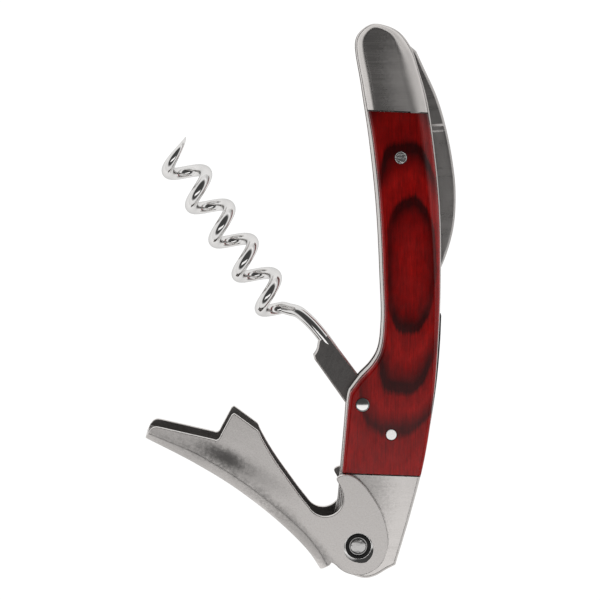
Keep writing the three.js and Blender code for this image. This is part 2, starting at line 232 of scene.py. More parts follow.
def ring_of(verts, outline, inward, inset, z):
    """Adds the outline moved in by an inset at a height; both may vary from point to point."""
    inset = np.broadcast_to(inset, len(outline))
    z = np.broadcast_to(z, len(outline))
    first = len(verts)
    verts += [(x, y, h) for (x, y), h in zip(outline + inward * inset[:, None], z)]
    return first, len(outline)


def turn_round(verts, faces, centre, section, sides):
    """Adds a surface of revolution about +Z from (radius, z) pairs. Gives its two end rings."""
    angle = np.linspace(0, 2 * math.pi, sides, endpoint=False)
    rings = []
    for r, z in section:
        rings.append((len(verts), sides))
        verts += [(centre[0] + r * math.cos(a), centre[1] + r * math.sin(a), z) for a in angle]
    faces += loops_to_faces(rings)
    return end_rings(rings)


def end_rings(rings):
    """Indices of the first and the last ring."""
    return [list(range(first, first + count)) for first, count in (rings[0], rings[-1])]


def bore(verts, faces, centre, section):
    """Adds a round hole through a plate from (radius, z) pairs. Gives its two rims."""
    return turn_round(verts, faces, centre, section, BORE_SIDES)


def lathe(centre, profile):
    """Body of revolution from (radius, z) pairs. A radius of zero closes an end."""
    verts, faces = [], []
    turn_round(verts, faces, centre, profile, TURNED_SIDES)
    return verts, faces


# Slope left where the liners were ground down to the covers: (inset, drop) in ledge widths.
LEDGE = [(0.0, 0.80), (0.10, 0.64), (0.85, 0.05), (1.0, 0.0)]


def close_plate(verts, faces, rings, bores):
    """Closes the lower and the upper face of a plate with holes."""
    first, last = end_rings(rings)
    faces += caps(verts, last, [b[1] for b in bores]) + caps(verts, first, [b[0] for b in bores])


def slab(outline, low, high, rim=0.12, holes=(), ledge=None):
    """Flat plate with rounded rims. Holes are (centre, radius) pairs. A ledge is the width of a
    sloping top edge, point by point."""
    inward = normals(outline)
    under = [(w, low + d) for w, d in reversed(rounded(rim))]
    over = [(w, high - d) for w, d in rounded(rim)]
    edge = over if ledge is None else [(ledge * w, high - ledge * d) for w, d in LEDGE]
    verts, faces = [], []
    rings = [ring_of(verts, outline, inward, inset, z) for inset, z in under + edge]
    faces += loops_to_faces(rings)
    bores = [bore(verts, faces, c, [(r + w, z) for w, z in under + over]) for c, r in holes]
    close_plate(verts, faces, rings, bores)
    return verts, faces


# ---------------------------- materials


class Nodes:
    """Short hand for building the node tree of a material or a world."""

    def __init__(self, owner):
        owner.use_nodes = True
        self.owner = owner
        self.tree = owner.node_tree

    def add(self, kind, inputs=None, **settings):
        node = self.tree.nodes.new("ShaderNode" + kind)
        for key, value in settings.items():
            setattr(node, key, value)
        for key, value in (inputs or {}).items():
            self.put(node.inputs[key], value)
        return node

    def put(self, socket, value):
        if isinstance(value, bpy.types.NodeSocket):
            self.tree.links.new(value, socket)
        else:
            socket.default_value = value

    def math(self, operation, a, b=0.0, c=0.0):
        node = self.add("Math", operation=operation)
        for socket, value in zip(node.inputs, (a, b, c)):
            self.put(socket, value)
        return node.outputs[0]

    def move(self, vector, shift=(0, 0, 0), spin=0.0, scale=(1, 1, 1)):
        """Vector scaled, then turned about Z by an angle, then shifted."""
        inputs = {"Vector": vector, "Location": shift, "Rotation": (0, 0, spin), "Scale": scale}
        return self.add("Mapping", inputs).outputs[0]

    def place(self, angle=0.0, scale=(1, 1, 1), shift=(0, 0, 0)):
        """Drawing-frame millimetres, turned back by an angle about Z and then scaled."""
        local = self.move(self.add("TexCoord").outputs["Object"], -PLACE, scale=(1 / MM,) * 3)
        return self.move(self.move(local, spin=-angle), shift, scale=scale)

    def noise(self, vector, detail=3.0, rough=0.55):
        inputs = {"Vector": vector, "Scale": 1.0, "Detail": detail, "Roughness": rough}
        return self.add("TexNoise", inputs).outputs["Fac"]

    def ramp(self, value, stops):
        node = self.add("ValToRGB", {"Fac": value})
        elements = node.color_ramp.elements
        while len(elements) < len(stops):
            elements.new(0.5)
        for element, (at, colour) in zip(elements, stops):
            element.position = at
            element.color = (*colour, 1)
        return node.outputs["Color"]

    def span(self, value, low, high, new_low, new_high, curve="LINEAR"):
        names = ("Value", "From Min", "From Max", "To Min", "To Max")
        inputs = dict(zip(names, (value, low, high, new_low, new_high)))
        return self.add("MapRange", inputs, interpolation_type=curve).outputs["Result"]

    def mix(self, share, a, b, blend="MIX"):
        node = self.add("Mix", data_type="RGBA", blend_type=blend)
        self.put(node.inputs["Factor"], share)
        self.put(node.inputs["A"], a)
        self.put(node.inputs["B"], b)
        return node.outputs["Result"]

    def bump(self, value, distance, strength=1.0, normal=None):
        node = self.add("Bump", {"Height": value, "Distance": distance, "Strength": strength})
        if normal is not None:
            self.put(node.inputs["Normal"], normal)
        return node.outputs["Normal"]

    def set(self, **values):
        """Sets or links inputs of the material's shader. Gives the material."""
        for key, value in values.items():
            self.put(self.tree.nodes["Principled BSDF"].inputs[key.replace("_", " ")], value)
        return self.owner


def rgb(red, green, blue):
    """Linear colour from 8-bit screen values."""
    return tuple((c / 255) ** 2.2 for c in (red, green, blue))


STEEL_TINT = (1.0, 0.955, 0.925)
POLISH_TINT = (1.0, 0.985, 0.97)


def grey(value, tint):
    return tuple(value * t for t in tint) + (1.0,)


def steel(
    name, base, roughness, angle=0.0, grain=(0.25, 9.0), grain_depth=0.0012, spread=0.06,
    smudge=0.05, grit=0.0, shade_and_dull_patches=(),
):
    """Brushed steel: lines along an angle and soft smudges. grain is how fine the lines are along
    and across, grain_depth their depth in millimetres. The patch list gives patches as
    (x, y, angle, half length, half width, darkness, added roughness): darkness paints shade or a
    dark reflection into the colour, added roughness makes the steel duller."""
    n = Nodes(bpy.data.materials.new(name))
    lines = n.noise(n.place(angle, (grain[0], grain[1], grain[1])), detail=4, rough=0.6)
    broad = n.noise(n.place(angle, (0.06, 0.6, 0.6), (3, 7, 1)), detail=2)
    cloud = n.noise(n.place(0, (0.11,) * 3, (9, 2, 4)), detail=4, rough=0.6)
    shade = n.math("ADD", n.span(lines, 0.3, 0.7, -0.5, 0.5), n.span(broad, 0.3, 0.7, -0.4, 0.4))
    shade = n.math("ADD", shade, n.span(cloud, 0.3, 0.7, -0.5, 0.5))
    if grit:
        fine = n.noise(n.place(0, (4.2,) * 3, (2, 6, 1)), detail=2.5, rough=0.7)
        shade = n.math("ADD", shade, n.span(fine, 0.3, 0.7, -grit, grit))
    colour = n.mix(
        n.span(shade, -1.2, 1.2, 0, 1),
        grey(base * (1 - smudge * 2.2), STEEL_TINT),
        grey(min(1.0, base * (1 + smudge * 1.6)), STEEL_TINT),
    )
    rough = n.span(shade, -1.0, 1.0, roughness - spread, roughness + spread)
    speck = n.noise(n.place(0, (1.7,) * 3, (5, 3, 2)), detail=3, rough=0.7)
    # Each patch's darkness is painted shade or a painted dark reflection.
    for x, y, turn, length, width, darkness, dullness in shade_and_dull_patches:
        local = n.move(n.move(n.place(), (-x, -y, 0)), spin=-turn)
        local = n.move(local, scale=(1 / length, 1 / width, 0))
        away = n.add("VectorMath", {0: local}, operation="LENGTH").outputs["Value"]
        for ragged in (cloud, speck):
            away = n.math("ADD", away, n.span(ragged, 0.3, 0.7, -0.12, 0.12))
        share = n.span(away, 0.1, 1.0, 1.0, 0.0, "SMOOTHERSTEP")
        dark = grey(base * 0.16, STEEL_TINT)
        colour = n.mix(n.math("MULTIPLY", share, darkness), colour, dark)
        rough = n.math("ADD", rough, n.math("MULTIPLY", share, dullness))
    normal = n.bump(lines, grain_depth * MM)
    return n.set(Base_Color=colour, Metallic=1.0, Roughness=rough, Normal=normal)


def polished(name, base, roughness, limb=0.6, dents=0.0, dent_scale=0.85):
    """Polished steel with fine random scratches and faint clouds. limb is how bright it stays at
    grazing angles, dents the depth of soft hammer marks in millimetres."""
    n = Nodes(bpy.data.materials.new(name))
    cloud = n.noise(n.place(0, (0.35,) * 3), detail=5, rough=0.65)
    fine = n.noise(n.place(0.7, (2.0, 14.0, 14.0)))
    light, dull = grey(base, POLISH_TINT), grey(base * 0.93, POLISH_TINT)
    colour = n.mix(n.span(cloud, 0.3, 0.7, 0, 1), dull, light)
    mixed = n.math("ADD", n.math("MULTIPLY", cloud, 0.5), n.math("MULTIPLY", fine, 0.5))
    rough = n.span(mixed, 0.3, 0.7, roughness * 0.7, roughness * 1.5)
    normal = n.bump(fine, 0.0004 * MM, 0.6)
    if dents:
        marks = n.noise(n.place(0, (dent_scale,) * 3, (4.3, 1.2, 0)), detail=1.5)
        normal = n.bump(marks, dents * MM, normal=normal)
    return n.set(
        Base_Color=colour, Metallic=1.0, Roughness=rough, Normal=normal,
        Specular_Tint=(limb, limb, limb, 1),
    )


def red_wood():
    """Lacquered red laminated wood: long dark growth ovals and fine streaks along the handle."""
    n = Nodes(bpy.data.materials.new("red_wood"))
    warp = n.noise(n.place(0, (0.32, 0.07, 0.3), (2, 5, 3)), rough=0.5)
    streak = n.noise(n.place(0, (3.1, 0.17, 1.5), (1, 4, 2)), detail=6, rough=0.72)
    fine = n.noise(n.place(0, (8.0, 0.25, 5.0), (6, 1, 8)), rough=0.6)
    x, y, _ = n.add("SeparateXYZ", {"Vector": n.place()}).outputs
    middle = 8.0  # of the ovals, up the handle
    along = n.math("SUBTRACT", y, middle)
    # Towards the foot the second ring is drawn out and the third one drawn in.
    stretch = n.math(
        "ADD", n.span(along, -14.0, -24.0, 1.0, 0.945), n.span(along, -28.0, -35.0, 0.0, 0.105)
    )
    axis = n.math("SUBTRACT", 23.9, n.math("MULTIPLY", n.math("MULTIPLY", along, along), 0.003))
    far = n.math("ABSOLUTE", n.math("MULTIPLY", along, stretch))
    narrow = n.span(far, 7.0, 22.0, 0.355, 0.26, "SMOOTHSTEP")
    across = n.math("ABSOLUTE", n.math("DIVIDE", n.math("SUBTRACT", x, axis), narrow))
    # A power of two would give ellipses. A higher one gives fuller ovals.
    fullness = 3.0
    ring = n.math("ADD", n.math("POWER", across, fullness), n.math("POWER", far, fullness))
    ring = n.math("POWER", ring, 1 / fullness)
    ring = n.math("ADD", ring, n.span(warp, 0.25, 0.75, -0.8, 0.8))
    ring = n.math("ADD", ring, n.span(streak, 0.25, 0.75, -0.45, 0.45))
    red, bright, deep = rgb(154, 18, 17), rgb(170, 23, 20), rgb(126, 11, 12)
    dark, dim = rgb(66, 6, 8), rgb(88, 8, 11)
    # Colour by millimetres from the middle, measured along the handle.
    stops = [
        (0.0, bright), (7.0, red), (10.6, deep), (12.9, dark), (14.3, dark), (15.4, red),
        (19.5, bright), (22.6, deep), (24.6, dark), (26.2, dark), (27.6, red), (32.0, bright),
        (35.2, deep), (37.2, dim), (38.2, dim), (39.8, red), (46.0, bright),
    ]
    reach = stops[-1][0]
    base = n.ramp(n.math("DIVIDE", ring, reach), [(at / reach, c) for at, c in stops])
    # The outer rings fade where they run along the sides, and the head end is a little darker.
    beside = n.span(n.math("DIVIDE", far, ring), 0.84, 0.62, 0.0, 0.62, "SMOOTHSTEP")
    outer = n.span(ring, 16.0, 21.0, 0.4, 1.0)
    base = n.mix(n.math("MULTIPLY", beside, outer), base, (*red, 1))
    base = n.mix(n.span(y, 24.0, 44.0, 0.0, 0.62), base, (*deep, 1), "MULTIPLY")
    shade = n.ramp(streak, [(0.34, (0.68,) * 3), (0.5, (0.98,) * 3), (0.67, (1.22,) * 3)])
    base = n.mix(1.0, base, shade, "MULTIPLY")
    pores = n.ramp(fine, [(0.28, (0.62,) * 3), (0.44, (1.0,) * 3)])
    base = n.mix(0.75, base, pores, "MULTIPLY")
    mottle = n.noise(n.place(0, (0.9, 0.35, 0.9), (3, 3, 3)), detail=4, rough=0.7)
    mottle = n.ramp(mottle, [(0.36, (0.82,) * 3), (0.64, (1.14,) * 3)])
    base = n.mix(1.0, base, mottle, "MULTIPLY")
    normal = n.bump(fine, 0.004 * MM, 0.5)
    lacquer = n.span(n.noise(n.place(0, (0.3,) * 3)), 0.3, 0.7, 0.16, 0.24)
    return n.set(Base_Color=base, Roughness=lacquer, IOR=1.34, Normal=normal)


# The dark patch on the foot bolster is a painted shadow of the lever's hook. The patch on the head
# bolster only makes it duller.
BOLSTER = steel(
    "bolster_brushed", 0.595, 0.25, 0.02, (0.12, 7.0), 0.0035, 0.05, 0.06,
    shade_and_dull_patches=[(11.8, -43.0, 1.50, 17.0, 11.0, 0.50, 0.0), (23.0, 46.5, 1.82, 18.0, 7.8, 0.0, 0.17)],
)
LINER = steel("liner_satin", 0.60, 0.24, 1.45, (0.3, 1.6), 0.0005)
SPRING = steel("spring_dark", 0.05, 0.38, 1.5, (0.3, 4.0), 0.003)
BLADE_STEEL = steel("blade_ground", 0.46, 0.30, 0.08, (0.25, 8.0), 0.003)
# Dark patches painted on the lever: the first is a painted reflection of a small dark thing in the
# front plate, the others are painted shade over the web, its bend and the tip. Some also make the
# steel duller.
LEVER_STEEL = steel(
    "lever_satin", 0.65, 0.34, LEVER_REST, (2.2, 3.6), 0.0022, 0.05, 0.10, 0.9,
    shade_and_dull_patches=[
        (-16.2, -33.6, LEVER_REST, 9.0, 3.0, 0.86, 0.1),
        (-14.0, -35.2, LEVER_REST, 20.0, 4.2, 0.34, 0.0),
        (-0.7, -50.6, LEVER_REST - 0.29, 17.0, 3.4, 0.36, 0.13),
        (-18.4, -37.1, LEVER_REST - 0.03, 26.0, 3.4, 0.30, 0.13),
        (-30.5, -30.0, LEVER_REST, 12.0, 6.0, 0.16, 0.0),
    ],
)
# Darker, rougher steel for the faces inside the lever's channel: painted shade.
LEVER_INSIDE_SHADE = steel("lever_inside_painted_shade", 0.26, 0.5, LEVER_REST, (1.2, 3.0), 0.004, 0.06, 0.12, 0.8)
TANG_STEEL = steel("tang_ground", 0.15, 0.40, WORM_REST + 0.5, (0.5, 2.0), 0.006, 0.07, 0.16, 0.8)
WORM_STEEL = polished("worm_polished", 0.72, 0.08, limb=0.7)
RIVET_STEEL = polished("rivet_polished", 0.66, 0.10)
PEENED_STEEL = polished("rivet_peened", 0.40, 0.16, dents=0.06)
FILED_STEEL = polished("rivet_filed", 0.60, 0.2, dents=0.06, dent_scale=2.6)
WASHER_STEEL = polished("washer_dark", 0.022, 0.3, limb=0.2)
WOOD = red_wood()


# ---------------------------- handle

BACK = [
    (21.05, -57.85), (24.4, -46.3), (27.25, -34.7), (29.3, -20.0), (30.2, -6.6), (30.5, 4.6),
    (30.2, 19.5), (29.1, 31.0), (27.3, 43.0), (25.3, 50.0), (23.8, 54.4),
]
HEAD_AND_BELLY = [
    (21.3, 57.8), (18.6, 59.25), (15.2, 59.7), (12.7, 58.0), (11.8, 55.9), (13.1, 46.6),
    (14.9, 34.9), (16.5, 20.5), (17.4, 5.0), (17.7, -4.5), (17.0, -10.6), (15.4, -13.5),
    (12.75, -16.3), (10.6, -19.2),
]
THROAT_AND_FOOT = [
    (10.6, -19.2), (10.3, -20.4), (9.8, -27.0), (9.0, -36.8), (8.2, -45.4), (6.4, -51.6),
    (6.5, -54.6), (8.2, -57.8), (11.3, -60.0), (14.2, -60.8), (16.6, -60.35), (19.2, -58.85),
    (21.05, -57.85),
]
COVER_BACK = [
    (20.85, -57.6), (24.1, -46.3), (26.95, -34.7), (29.0, -20.0), (29.9, -6.6), (30.2, 4.6),
    (29.9, 19.5), (28.8, 31.0), (27.0, 42.6), (24.98, 50.0), (23.45, 54.2),
]
COVER_HEAD_AND_BELLY = [
    (20.95, 57.55), (18.35, 58.98), (15.25, 59.45), (12.95, 57.85), (12.03, 55.8), (13.4, 46.6),
    (14.3, 41.5), (15.5, 35.0), (17.12, 20.5), (17.95, 5.0), (18.22, -4.5), (17.45, -10.75),
    (15.8, -13.85), (13.05, -16.85), (10.9, -19.8),
]
COVER_THROAT_AND_FOOT = [
    (10.9, -19.8), (10.6, -21.2), (10.0, -27.5), (9.25, -36.8), (8.45, -45.4), (6.7, -51.6),
    (6.8, -54.4), (8.5, -57.5), (11.4, -59.7), (14.2, -60.5), (16.5, -60.0), (19.0, -58.55),
    (20.85, -57.6),
]
FINE = 0.5  # step along the outlines

BLADE_PIN_R, WORM_RIVET_R, LEVER_RIVET_R = 1.6, 1.45, 1.8
UPPER_RIVET_R, LOWER_RIVET_R = 1.3, 1.2
PLAY = 0.07


def hole(centre, radius):
    """Hole with running play round a rivet."""
    return centre, radius + PLAY


WORM_HOLE, LEVER_HOLE = hole(WORM_PIVOT, WORM_RIVET_R), hole(LEVER_PIVOT, LEVER_RIVET_R)
UPPER_HOLE, LOWER_HOLE = hole(UPPER_RIVET, UPPER_RIVET_R), hole(LOWER_RIVET, LOWER_RIVET_R)

liner_outline = closed(spline(BACK + HEAD_AND_BELLY, FINE), spline(THROAT_AND_FOOT, FINE))
# Joint lines between the wood and the bolsters: y = level + slope * x.
JOINT_SLOPE = -0.04
HEAD_JOINT = 41.77
FOOT_JOINT = -37.0
HALF_GAP = 0.15

cover_outline = closed(
    spline(COVER_BACK + COVER_HEAD_AND_BELLY, FINE), spline(COVER_THROAT_AND_FOOT, FINE)
)


def smoothed(values, span):
    """Values round a closed loop, evened out over an odd number of neighbours."""
    kernel = np.hanning(span + 2)[1:-1]
    kernel /= kernel.sum()
    half = span // 2
    return np.convolve(np.concatenate([values[-half:], values, values[:half]]), kernel, "valid")


def distance_to(points, loop):
    """Distance of each point to a closed loop of segments."""
    a, b = loop, np.roll(loop, -1, axis=0)
    d = b - a
    length = np.sum(d * d, axis=1)
    rel = points[:, None, :] - a[None]
    t = np.clip(np.sum(rel * d[None], axis=2) / length[None], 0, 1)
    return np.linalg.norm(rel - t[..., None] * d[None], axis=2).min(axis=1)


def front_and_rear(name, ending, verts, faces, slot, material, **settings):
    """Builds a piece of the handle's front and its mirror image at the rear."""
    for side, points in (("front", verts), ("rear", [(x, y, -z) for x, y, z in verts])):
        node = f"{name}_{side}"
        build(f"{node}_{ending}", points, faces, "handle", slot, [node], material, **settings)


LEDGE_GAP, LEDGE_LEAST, LEDGE_MOST = 0.05, 0.12, 0.95
EVEN_OVER = 11  # neighbours over which widths round an outline are evened out
ledge_width = distance_to(liner_outline, cover_outline) - LEDGE_GAP
ledge_width = smoothed(np.clip(ledge_width, LEDGE_LEAST, LEDGE_MOST), EVEN_OVER)
LINER_HOLES = [WORM_HOLE, LEVER_HOLE, UPPER_HOLE, LOWER_HOLE]
verts, faces = slab(liner_outline, LINER_IN, LINER_OUT, 0.1, LINER_HOLES, ledge_width)
front_and_rear("liner", "plate", verts, faces, "liner_steel", LINER, sharp=15)


# Width of the covers' rounded edge by height up the handle, on the back and on the belly side.
BACK_ROUNDING = [
    (-60, 0.6), (-37, 0.7), (-20, 0.9), (0, 1.6), (15, 2.5), (30, 3.5), (42, 3.9), (50, 4.0),
    (57, 2.9), (60, 1.3),
]
BELLY_ROUNDING = [
    (-60, 0.6), (-37, 0.7), (-20, 0.8), (0, 0.9), (20, 1.1), (36, 1.5), (42, 1.9), (50, 1.9),
    (56, 1.7), (60, 1.0),
]
TOP_ROUNDING = 0.85
# Slope of that edge by share of its width, from the wall to the flat.
COVER_EDGE = [(0, 84), (0.05, 62), (0.16, 45), (0.45, 36), (0.72, 25), (1.0, 0)]
EDGE_SHARE, EDGE_RISE, EDGE_RATIO = edge_curve(COVER_EDGE, 14)
EDGE_TALLEST = 2.3
NO_LIMIT = 9.0


def cover_rounding():
    """For each point of the cover's outline: inward vector, rounding width, and furthest inset."""
    inward = normals(cover_outline)
    unit = inward / np.linalg.norm(inward, axis=1)[:, None]
    up = cover_outline[:, 1]
    back, belly = (np.interp(up, *np.array(k).T) for k in (BACK_ROUNDING, BELLY_ROUNDING))
    beside = np.abs(unit[:, 0])
    width = np.where(unit[:, 0] < 0, back, belly)
    width = np.where(up > 50, width * beside + TOP_ROUNDING * (1 - beside), width)
    width = smoothed(width, EVEN_OVER)
    # The outline can move in only until it meets the far side of a narrow place.
    reach = np.full(len(width), NO_LIMIT)
    for t in np.arange(0.1, 3.0, 0.04):
        there = cover_outline + inward * t
        tight = distance_to(there, cover_outline) < t - 0.03
        reach = np.where(tight & (reach > t), t, reach)
    return inward, width, reach


COVER_IN, COVER_W, COVER_REACH = cover_rounding()
ALL_ROWS = np.column_stack([cover_outline, COVER_IN, COVER_W, COVER_REACH])


def rows_between(low, high):
    """Rows of the outline between two joint levels: x, y, inward x, inward y, width, reach.
    Where the outline leaves that band, the row lies on the joint line."""
    level = ALL_ROWS[:, 1] - JOINT_SLOPE * ALL_ROWS[:, 0]
    inside = (level > low) & (level < high)
    count = len(ALL_ROWS)
    rows = []
    for start in [i for i in range(count) if inside[i] and not inside[i - 1]]:
        rows.append(crossing(ALL_ROWS[start - 1], ALL_ROWS[start], low, high))
        i = start
        while inside[i % count]:
            rows.append(ALL_ROWS[i % count])
            i += 1
        rows.append(crossing(ALL_ROWS[i % count], ALL_ROWS[i % count - 1], low, high))
    return np.array(rows)


def crossing(outside, within, low, high):
    """Row on the joint line between a point outside the band and one within it.
    Its inward vector runs along the joint line."""
    level = [r[1] - JOINT_SLOPE * r[0] for r in (outside, within)]
    target = high if level[0] > high else low
    t = (target - level[0]) / (level[1] - level[0])
    row = outside + (within - outside) * t
    along = np.array([1.0, JOINT_SLOPE]) / math.hypot(1, JOINT_SLOPE)
    inward = row[2:4]
    side = 1.0 if inward @ along > 0 else -1.0
    row[2:4] = along * side / max(0.5, abs(inward @ along) / np.linalg.norm(inward) ** 2)
    return row


def cover_piece(low, high, holes=(), belly_limit=NO_LIMIT):
    """Rounded wood or bolster between two joint levels, on the front of the handle."""
    outline, inward, width, reach = np.split(rows_between(low, high), [2, 4, 5], axis=1)
    width, reach = width[:, 0], reach[:, 0]
    width = np.where(inward[:, 0] > 0, np.minimum(width, belly_limit), width)
    tall = np.minimum(EDGE_RATIO * width, EDGE_TALLEST)
    verts, faces = [], []
    rings = [ring_of(verts, outline, inward, 0.0, LINER_OUT)]
    for share in EDGE_SHARE:
        # Where the inset stops early on a ridge, the surface has the height of that inset.
        inset = np.minimum(width * share, reach)
        rise = np.interp(inset / width, EDGE_SHARE, EDGE_RISE)
        rings.append(ring_of(verts, outline, inward, inset, HANDLE_HALF - tall * (1 - rise)))
    faces += loops_to_faces(rings)
    sink = 0.1
    bores = [
        bore(verts, faces, c, [(r, LINER_OUT), (r, HANDLE_HALF - sink), (r + sink, HANDLE_HALF)])
        for c, r in holes
    ]
    close_plate(verts, faces, rings, bores)
    return verts, faces


PAST_END = 99
SCALE_BAND = (FOOT_JOINT + HALF_GAP, HEAD_JOINT - HALF_GAP)
SCALE_BELLY_LIMIT = 0.75
COVERS = [
    ("head_bolster", (HEAD_JOINT + HALF_GAP, PAST_END), "bolster_steel", BOLSTER),
    (
        "scale", (*SCALE_BAND, [WORM_HOLE, UPPER_HOLE, LOWER_HOLE], SCALE_BELLY_LIMIT),
        "red_wood", WOOD,
    ),
    ("foot_bolster", (-PAST_END, FOOT_JOINT - HALF_GAP, [LEVER_HOLE]), "bolster_steel", BOLSTER),
]
for name, shape, slot, material in COVERS:
    front_and_rear(name, "shaped", *cover_piece(*shape), slot, material)

# Springs and spacer between the liners.
blade_spring = closed(
    spline([(17.75, 1.0), (16.85, 20.5), (15.25, 34.9), (13.75, 45.2)], FINE),
    spline([(17.9, 46.3), (18.9, 36.0), (19.6, 33.2)], FINE),
    arc(UPPER_RIVET, 2.1, 130, -115),
    spline([(20.2, 28.7), (20.4, 20.5), (20.6, 8.0), (20.4, 1.8)], FINE),
)
back_spring = closed(
    arc((29.55, -3.4), 1.2, 90, 15),
    spline(
        [(30.75, -3.4), (30.6, -8.0), (30.05, -16.0), (29.2, -23.0), (27.2, -35.0), (25.9, -40.5)],
        FINE,
    ),
    spline([(9.1, -39.6), (9.55, -33.0), (10.1, -27.6)], FINE),
    arc(WORM_PIVOT, 3.5, 270, 375),
    spline([(17.6, -17.5), (20.5, -11.0), (24.3, -2.4)], FINE),
)
SPACER_FOOT = [
    (21.0, -57.0), (19.0, -58.3), (16.5, -59.9), (14.2, -60.35), (11.5, -59.6), (8.7, -57.4),
    (6.95, -54.4), (6.85, -51.6), (8.6, -45.4), (9.05, -40.1),
]
foot_spacer = closed(
    spline([(25.4, -41.0), (24.0, -46.3), (21.0, -57.0)], FINE), spline(SPACER_FOOT, FINE)
)
for node, outline, rivet_hole in (
    ("blade_spring", blade_spring, UPPER_HOLE),
    ("back_spring", back_spring, LOWER_HOLE),
    ("foot_spacer", foot_spacer, LEVER_HOLE),
):
    verts, faces = slab(outline, -CORE, CORE, holes=[rivet_hole])
    build(f"{node}_plate", verts, faces, "handle", "spring_steel", [node], SPRING)


def rivet(node, centre, radius, end, material=RIVET_STEEL, body="handle"):
    """Rivet that is alike at both ends, from the (radius, z) pairs of its front end."""
    half = [*end, (radius, 1.0)]
    profile = [(r, -z) for r, z in half] + [(r, z) for r, z in reversed(half)]
    verts, faces = lathe(centre, profile)
    build(f"{node}_turned", verts, faces, body, "rivet_steel", [node], material, sharp=40)


PIN_END, PIN_BEVEL = height("blade_pin"), 0.15
pin_end = [
    (0, PIN_END), (BLADE_PIN_R - PIN_BEVEL, PIN_END), (BLADE_PIN_R, PIN_END - PIN_BEVEL),
]
rivet("blade_pin", BLADE_PIVOT, BLADE_PIN_R, pin_end)


def filed_end(radius):
    """Flat end filed level with the wood, with a fine worn edge."""
    top = HANDLE_HALF
    return [
        (0, top - 0.01), (radius * 0.88, top - 0.01), (radius * 0.96, top - 0.05),
        (radius, top - 0.14),
    ]


rivet("scale_rivet_upper", UPPER_RIVET, UPPER_RIVET_R, filed_end(UPPER_RIVET_R), FILED_STEEL)
rivet("scale_rivet_lower", LOWER_RIVET, LOWER_RIVET_R, filed_end(LOWER_RIVET_R))
# Low dome: its lower half mirrors the light, its upper half the dark room.
CROWN, DOME = HANDLE_HALF + 0.14, 0.11
dome = [(WORM_RIVET_R * q, CROWN - DOME * q * q) for q in (0, 0.2, 0.4, 0.6, 0.8, 0.93)]
dome += [(WORM_RIVET_R * 0.985, CROWN - DOME - 0.03), (WORM_RIVET_R, CROWN - DOME - 0.1)]
rivet("worm_rivet", WORM_PIVOT, WORM_RIVET_R, dome)


# ---------------------------- blade

BLADE_SPINE = [
    (24.9, 54.0), (26.6, 50.4), (29.35, 44.5), (31.2, 38.8), (32.9, 31.0), (33.75, 23.5),
    (33.3, 15.6), (31.0, 7.8), (28.7, 3.75),
]
BLADE_EDGE = [
    (20.6, 47.0), (22.8, 42.0), (24.0, 35.0), (24.3, 28.0), (25.0, 19.0), (26.6, 10.5),
    (28.7, 3.75),
]
HEEL_R = 4.3
RICASSO = 38.4
STEP_AT = [0.0, 0.5, 1.4, 1.7]  # of the two steps, in millimetres below the ricasso
GRIND_HALF, GRIND_SLOPE = 0.79, 0.70  # half thickness at the spine, and its fall to the edge
SPINE_THINNED = 0.36  # share of the thickness that the grind takes from the spine


def level_of(p):
    """Height of a point over the line where the flat grind starts."""
    return p[..., 1] - 0.06 * (p[..., 0] - 31.0) - RICASSO


def hollow(level):
    """How far the flat grind is reached below that line: a crisp step, then a fainter one."""
    return float(np.interp(-level, STEP_AT, [0.0, 0.92, 0.93, 1.0]))


def blade():
    """Blade with its spine outwards: a thick ricasso, then a flat grind from spine to edge."""
    heel_turns = (72, 262)  # where the heel's arc ends on the spine's and on the edge's side
    spine_line, edge_line = (
        np.concatenate([arc(BLADE_PIVOT, HEEL_R, 165, turn, 0.3), spline(knots, 0.1)])
        for turn, knots in zip(heel_turns, (BLADE_SPINE, BLADE_EDGE))
    )
    # Columns across the blade, with some exactly on the two steps of the grind.
    counts = [60, 3, 5, 3, 150]

    def even(line):
        along, level = lengths(line), level_of(line)
        past_heel = len(line) // 6
        steps = np.interp(STEP_AT, -level[past_heel:], along[past_heel:])
        marks = [0.0, *steps, along[-1]]
        parts = [
            np.linspace(a, b, n, endpoint=False) for a, b, n in zip(marks, marks[1:], counts)
        ]
        return points_at(line, np.concatenate([*parts, along[-1:]]))

    spine, edge = even(spine_line), even(edge_line)
    # Rounded spine: distance in from it in millimetres, and share of the half thickness there.
    near = [(0.0, 0.0), (0.0, 0.50), (0.06, 0.60), (0.50, 0.97), (0.62, 1.0)]
    shares = np.linspace(0.12, 1.0, 12)
    verts, faces = [], []
    for side in (1, -1):
        rows = []
        for column, (s, e) in enumerate(zip(spine, edge)):
            across = e - s
            wide = max(np.linalg.norm(across), 1e-6)
            # Both ends draw in to a point, which closes the solid.
            sign = 0.0 if column in (0, len(spine) - 1) else side
            half = BLADE_HALF * (1 - SPINE_THINNED * hollow(level_of(s)))
            row = [(*(s + across * min(d / wide, 0.1)), sign * half * tall) for d, tall in near]
            for share in shares:
                p = s + across * share
                cut = hollow(level_of(p))
                thick = BLADE_HALF * (1 - cut) + cut * (GRIND_HALF - GRIND_SLOPE * share)
                if share == 1.0 and cut < 1:
                    thick = thick * 0.9
                row.append((*p, sign * thick))
            rows.append((len(verts), len(row)))
            verts += row
        faces += loops_to_faces(rows, close=False)
    # Strip that joins the two sides along the cutting edge.
    per_row, per_side = len(near) + len(shares), len(verts) // 2
    for i in range(len(spine) - 1):
        a = (i + 1) * per_row - 1
        faces.append((a, a + per_row, a + per_row + per_side, a + per_side))
    return verts, faces


verts, faces = blade()
build(
    "knife_blade_ground", verts, faces, "blade", "blade_steel", ["knife_blade"], BLADE_STEEL,
    sharp=28,
)


# ---------------------------- worm

COIL_RADIUS, COIL_PITCH, COIL_OFFSET, COIL_TOP = 3.35, 9.0, -3.5, 69.5
COIL_FROM, COIL_TO = 12, 1722
FLARE, FLARE_TURN = 0.9, 130
WIRE_R, TANG_HALF = 1.34, 1.25
POINT_LENGTH, POINT_R = 11.0, 0.1


